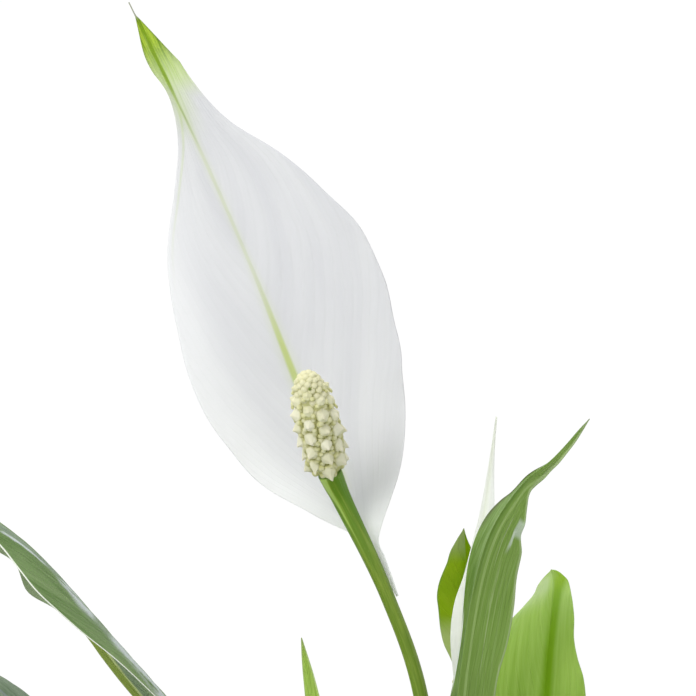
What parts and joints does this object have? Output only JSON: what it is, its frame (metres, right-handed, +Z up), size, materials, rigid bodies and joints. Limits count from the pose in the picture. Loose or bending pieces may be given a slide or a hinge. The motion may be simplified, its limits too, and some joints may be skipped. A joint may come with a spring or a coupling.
{
  "type": "potted peace lily",
  "caption": "Peace lily in a plain clay pot: arching green leaves, an open white spathe behind a knobbly cream spadix, and a young furled bloom.",
  "frame": {"origin": "centre of the pot's foot, on the surface that it stands on", "axes": "+Z up along the pot's axis, -Y towards the side that the open bloom faces, +X to the right seen from there"},
  "size_m": [0.3349, 0.3197, 0.4211],
  "materials": {
    "pot": "matt unglazed terracotta",
    "soil": "moist crumbly peat",
    "leaf": "satin leaf with sunken side veins",
    "flower_stalk": "smooth satin stalk",
    "spathe": "matt white with a green midrib and tip",
    "spadix": "waxy cream knobs"
  },
  "bodies": {
    "root": {"pot": "pot", "soil": "soil", "leaf_back": "leaf", "leaf_inner_1": "leaf", "leaf_inner_2": "leaf", "leaf_inner_3": "leaf", "leaf_inner_4": "leaf", "leaf_left": "leaf", "leaf_left_low": "leaf", "leaf_middle_1": "leaf", "leaf_middle_2": "leaf", "leaf_middle_3": "leaf", "leaf_middle_4": "leaf", "leaf_middle_5": "leaf", "leaf_middle_6": "leaf", "leaf_middle_7": "leaf", "leaf_middle_8": "leaf", "leaf_outer_1": "leaf", "leaf_outer_2": "leaf", "leaf_outer_3": "leaf", "leaf_outer_4": "leaf", "leaf_outer_5": "leaf", "leaf_outer_6": "leaf", "leaf_outer_7": "leaf", "leaf_outer_8": "leaf", "leaf_outer_9": "leaf", "leaf_right": "leaf", "leaf_tall": "leaf", "leaf_young": "leaf", "bloom_open_spadix": "spadix", "bloom_open_spathe": "spathe", "bloom_open_stalk": "flower_stalk", "bloom_young_spadix": "spadix", "bloom_young_spathe": "spathe", "bloom_young_stalk": "flower_stalk"}
  },
  "joints": []
}
